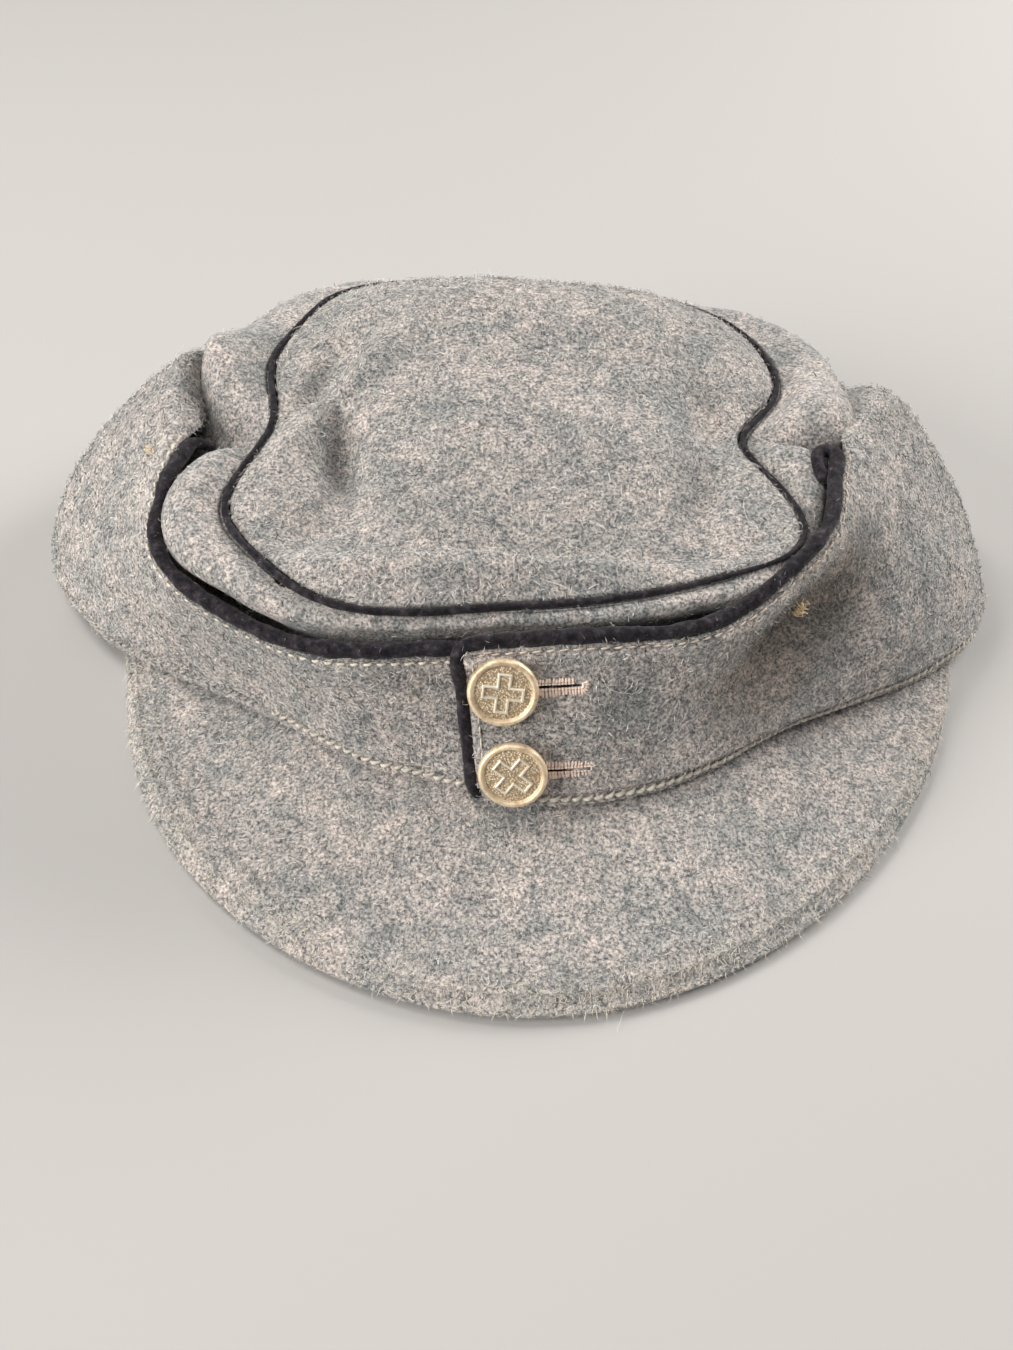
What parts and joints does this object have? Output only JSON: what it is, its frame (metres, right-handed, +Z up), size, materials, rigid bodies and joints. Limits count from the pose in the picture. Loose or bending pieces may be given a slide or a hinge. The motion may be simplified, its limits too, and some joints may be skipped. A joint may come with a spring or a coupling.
{
  "type": "wool field cap with buttoned turn-up",
  "caption": "Soft peaked field cap of felted wool with a turned-up band that laps and buttons in front, dark piping along its edges and a cloth-covered peak.",
  "frame": {"origin": "middle of the underside of the cap's box, on the surface it rests on", "axes": "+Z up, the peak points to -Y, +X to the wearer's left"},
  "size_m": [0.2506, 0.228, 0.0708],
  "materials": {
    "wool": "felted wool in a light grey mixture with blue-green and dark flecks, fuzzy and worn",
    "piping_felt": "near-black felt rolled round a cord",
    "button_metal": "dulled yellowish metal with a raised rim and a grained ground"
  },
  "bodies": {
    "root": {"top_panel": "wool", "crown_wall": "wool", "turn_up": "wool", "peak": "wool", "top_piping": "piping_felt", "flap_piping_left": "piping_felt", "flap_piping_right": "piping_felt", "button_upper": "button_metal", "button_lower": "button_metal"}
  },
  "joints": []
}
